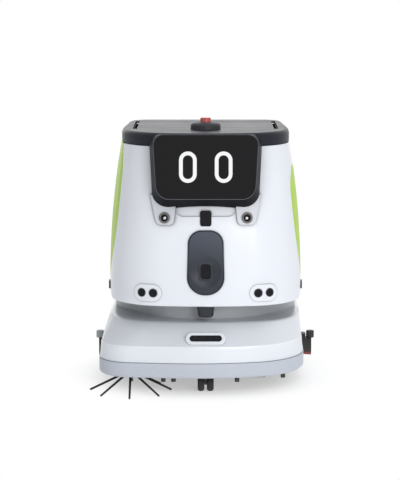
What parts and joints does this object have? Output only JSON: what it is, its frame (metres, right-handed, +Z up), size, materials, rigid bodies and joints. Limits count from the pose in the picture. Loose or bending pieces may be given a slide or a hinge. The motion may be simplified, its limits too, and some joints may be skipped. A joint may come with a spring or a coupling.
{
  "type": "floor cleaning robot",
  "caption": "Self-driving floor-cleaning robot with a tilted screen, sensor panel, scanner gap, sprung bumper, side brush, scrubbing roller, swivel caster and lifting squeegee.",
  "frame": {"origin": "on the floor under the middle of the overall box", "axes": "+Z up, the robot faces -Y, +X towards the robot's own left hand, seen on the right when looking at its front"},
  "size_m": [0.61, 0.6471, 0.69],
  "materials": {
    "white_cover": "satin white moulding",
    "pale_base": "satin pale grey moulding",
    "bumper_grey": "pale grey soft-touch moulding",
    "lime_cover": "lime green moulding",
    "dark_slate": "dark slate moulding",
    "pill_slate": "slate grey moulding",
    "black_plastic": "fine grained black moulding",
    "screen_black": "black display cover",
    "lens_glass": "dark lens",
    "lens_ring": "machined ring",
    "sensor_face": "dark sensor face",
    "stop_red": "red button",
    "tank_blue": "milky blue blow moulding",
    "tank_grey": "grey blow moulding",
    "board_green": "circuit board",
    "motor_steel": "plain motor can",
    "chassis_steel": "dark powder coat",
    "bright_steel": "bright steel",
    "wheel_grey": "grey hub moulding",
    "tyre_black": "black tyre",
    "caster_black": "black caster tyre",
    "bristle_black": "black nylon bristle",
    "roller_blue": "blue black nylon bristle",
    "blade_red": "red blade rubber",
    "hose_black": "black hose",
    "roller_pale": "pale grey guard roller",
    "contact_brass": "plated contact"
  },
  "bodies": {
    "chassis": {"front_shell": "white_cover", "rear_cover": "white_cover", "side_panel_left": "lime_cover", "side_panel_right": "lime_cover", "service_panel": "pill_slate", "top_frame": "dark_slate", "lid_hinge_pin": "bright_steel", "screen_housing": "black_plastic", "screen_glass": "screen_black", "control_board": "board_green", "camera_pods": "white_cover", "camera_rings": "lens_ring", "camera_lenses": "lens_glass", "front_camera_housing": "black_plastic", "sensor_panel": "pill_slate", "sensor_windows": "lens_glass", "sonar_transducers": "sensor_face", "side_sensors": "dark_slate", "lidar_housing": "dark_slate", "belly_plate": "dark_slate", "waist_core": "pale_base", "estop_base": "dark_slate", "clean_water_tank": "tank_blue", "waste_water_tank": "tank_grey", "waste_tank_cap": "black_plastic", "vacuum_motor": "motor_steel", "water_pump": "black_plastic", "battery_pack": "black_plastic", "base_shell": "pale_base", "depth_sensor_frame": "pale_base", "chassis_plate": "chassis_steel", "wheel_mounts": "bright_steel", "cliff_sensors": "black_plastic", "side_brush_motor": "motor_steel", "squeegee_pivot": "bright_steel", "suction_bellows": "hose_black", "suction_elbow": "hose_black", "charge_contacts": "contact_brass"},
    "lid": {"lid": "dark_slate"},
    "stop_button": {"estop_button": "stop_red"},
    "scanner_rotor": {"lidar_rotor": "black_plastic"},
    "bumper": {"bumper": "bumper_grey"},
    "caster": {"caster_fork": "black_plastic"},
    "caster_wheel_left": {"caster_wheel_left": "caster_black"},
    "caster_wheel_right": {"caster_wheel_right": "caster_black"},
    "drive_wheel_left": {"drive_hub_left": "wheel_grey", "drive_tyre_left": "tyre_black"},
    "drive_wheel_right": {"drive_hub_right": "wheel_grey", "drive_tyre_right": "tyre_black"},
    "side_brush": {"side_brush_hub": "black_plastic", "side_brush_bristles": "bristle_black"},
    "brush_deck": {"brush_deck": "dark_slate", "brush_motor": "motor_steel"},
    "roller": {"roller_core": "wheel_grey", "roller_bristles": "roller_blue"},
    "squeegee": {"squeegee_arm": "chassis_steel", "squeegee_bar": "black_plastic", "squeegee_blades": "blade_red"},
    "squeegee_roller_left": {"squeegee_roller_left": "hose_black"},
    "squeegee_roller_right": {"squeegee_roller_right": "roller_pale"}
  },
  "joints": [
    {"name": "lid_hinge", "type": "hinge", "parent": "chassis", "child": "lid", "pos_m": [0, 0.166, 0.655], "axis": [-1, 0, 0], "range_deg": [0, 95]},
    {"name": "stop_press", "type": "slide", "parent": "chassis", "child": "stop_button", "axis": [0, 0, -1], "range_m": [0, 0.005], "stiffness_N_per_m": 400},
    {"name": "scanner_spin", "type": "hinge", "parent": "chassis", "child": "scanner_rotor", "pos_m": [0, -0.212, 0.207], "axis": [0, 0, 1], "continuous": true},
    {"name": "bumper_press", "type": "slide", "parent": "chassis", "child": "bumper", "axis": [0, 1, 0], "range_m": [0, 0.008], "stiffness_N_per_m": 2500},
    {"name": "caster_swivel", "type": "hinge", "parent": "chassis", "child": "caster", "pos_m": [0, -0.24, 0.06], "axis": [0, 0, 1], "continuous": true},
    {"name": "caster_wheel_left_spin", "type": "hinge", "parent": "caster", "child": "caster_wheel_left", "pos_m": [0.0119, -0.22, 0.025], "axis": [1, 0, 0], "continuous": true},
    {"name": "caster_wheel_right_spin", "type": "hinge", "parent": "caster", "child": "caster_wheel_right", "pos_m": [-0.0119, -0.22, 0.025], "axis": [1, 0, 0], "continuous": true},
    {"name": "drive_left_spin", "type": "hinge", "parent": "chassis", "child": "drive_wheel_left", "pos_m": [0.205, 0.07, 0.085], "axis": [1, 0, 0], "continuous": true},
    {"name": "drive_right_spin", "type": "hinge", "parent": "chassis", "child": "drive_wheel_right", "pos_m": [-0.205, 0.07, 0.085], "axis": [1, 0, 0], "continuous": true},
    {"name": "side_brush_spin", "type": "hinge", "parent": "chassis", "child": "side_brush", "pos_m": [-0.192, -0.219, 0.05], "axis": [0, 0, 1], "continuous": true},
    {"name": "brush_deck_lift", "type": "slide", "parent": "chassis", "child": "brush_deck", "axis": [0, 0, 1], "range_m": [0, 0.018]},
    {"name": "roller_spin", "type": "hinge", "parent": "brush_deck", "child": "roller", "pos_m": [0, -0.058, 0.0426], "axis": [1, 0, 0], "continuous": true},
    {"name": "squeegee_lift", "type": "hinge", "parent": "chassis", "child": "squeegee", "pos_m": [0, 0.165, 0.063], "axis": [1, 0, 0], "range_deg": [0, 10], "deforming": ["suction_bellows"]},
    {"name": "squeegee_roller_left_spin", "type": "hinge", "parent": "squeegee", "child": "squeegee_roller_left", "pos_m": [0.294, 0.2473, 0.0583], "axis": [0, 0, 1], "continuous": true},
    {"name": "squeegee_roller_right_spin", "type": "hinge", "parent": "squeegee", "child": "squeegee_roller_right", "pos_m": [-0.294, 0.2473, 0.0583], "axis": [0, 0, 1], "continuous": true}
  ]
}
